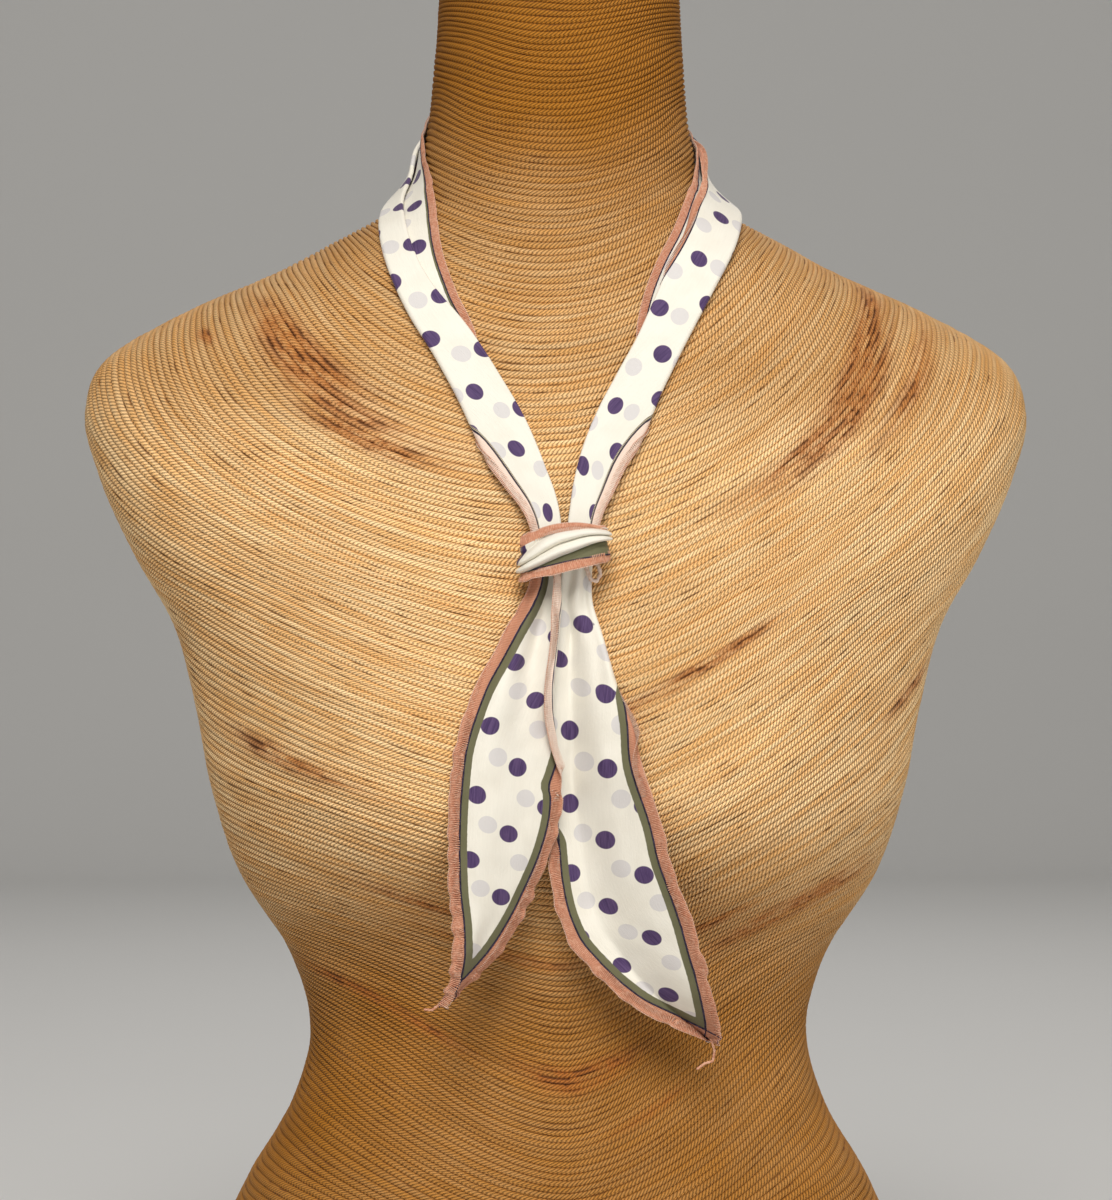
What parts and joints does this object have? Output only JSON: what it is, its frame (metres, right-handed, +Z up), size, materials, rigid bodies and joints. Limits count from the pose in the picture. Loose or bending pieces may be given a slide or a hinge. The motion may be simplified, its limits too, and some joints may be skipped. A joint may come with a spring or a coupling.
{
  "type": "neck scarf on dress form",
  "caption": "Narrow dotted neck scarf with stitched rose edges, folded, wrapped into a knot at the chest, worn on a limbless twine-wound dress form.",
  "frame": {"origin": "middle of the dress form's flat underside", "axes": "+Z up the dress form, +X to the right of someone who faces it, and the wearer's front towards -Y"},
  "size_m": [0.4134, 0.2518, 0.65],
  "materials": {
    "twine": "matt two-ply twine wound in close rows",
    "crepe": "thin soft crepe with printed dots",
    "rose_edging": "matt overlock stitching"
  },
  "bodies": {
    "root": {"dress_form": "twine", "scarf_neck_left": "crepe", "scarf_tail_left": "crepe", "scarf_neck_right": "crepe", "scarf_tail_right": "crepe", "scarf_knot": "crepe", "edging_neck_left_under": "rose_edging", "edging_neck_left_inner": "rose_edging", "edging_tail_left_outer": "rose_edging", "edging_tail_left_inner": "rose_edging", "edging_neck_right_under": "rose_edging", "edging_neck_right_inner": "rose_edging", "edging_tail_right_outer": "rose_edging", "edging_tail_right_inner": "rose_edging", "edging_knot_top": "rose_edging", "edging_knot_bottom": "rose_edging"}
  },
  "joints": []
}
